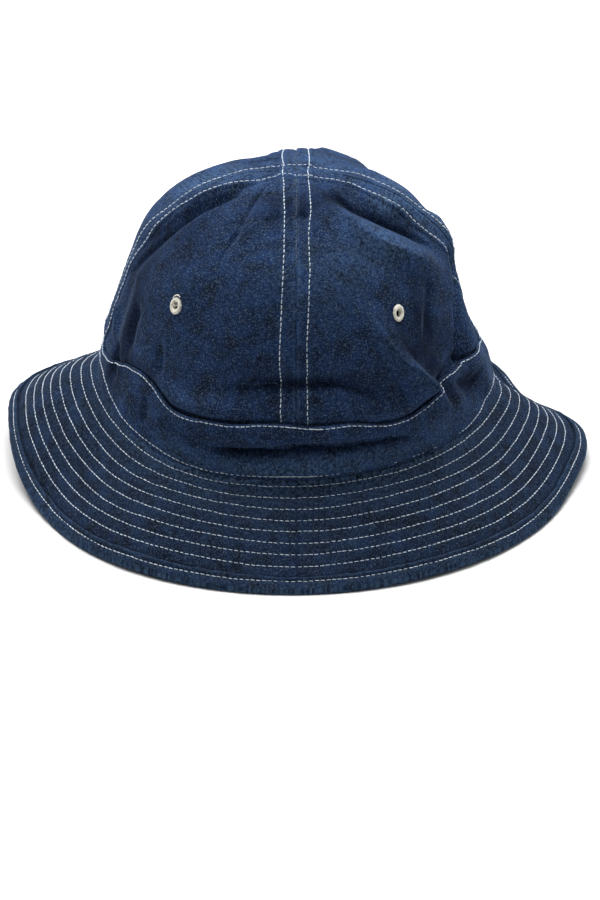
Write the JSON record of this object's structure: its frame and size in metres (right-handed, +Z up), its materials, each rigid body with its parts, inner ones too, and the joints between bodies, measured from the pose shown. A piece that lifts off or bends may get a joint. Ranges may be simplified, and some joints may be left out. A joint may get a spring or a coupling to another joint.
{
  "type": "fatigue hat",
  "caption": "Soft denim fatigue hat with a panelled round crown, a lapped band, a downturned stitched brim with a bound edge, and worked eyelets.",
  "frame": {"origin": "centre of the hat's box, level with the surface that the brim's edge rests on", "axes": "+Z up through the crown, -Y towards the front seam of the band, +X to the right of someone who looks at the front"},
  "size_m": [0.3013, 0.2839, 0.1585],
  "materials": {
    "denim": "matt indigo denim with pale weft specks",
    "thread": "matt cream thread"
  },
  "bodies": {
    "root": {"crown_panel_front_right": "denim", "crown_panel_back_right": "denim", "crown_panel_back_left": "denim", "crown_panel_front_left": "denim", "band": "denim", "brim_upper": "denim", "brim_under": "denim", "brim_binding": "denim", "eyelet_front_right": "thread", "eyelet_back_right": "thread", "eyelet_back_left": "thread", "eyelet_front_left": "thread"}
  },
  "joints": []
}
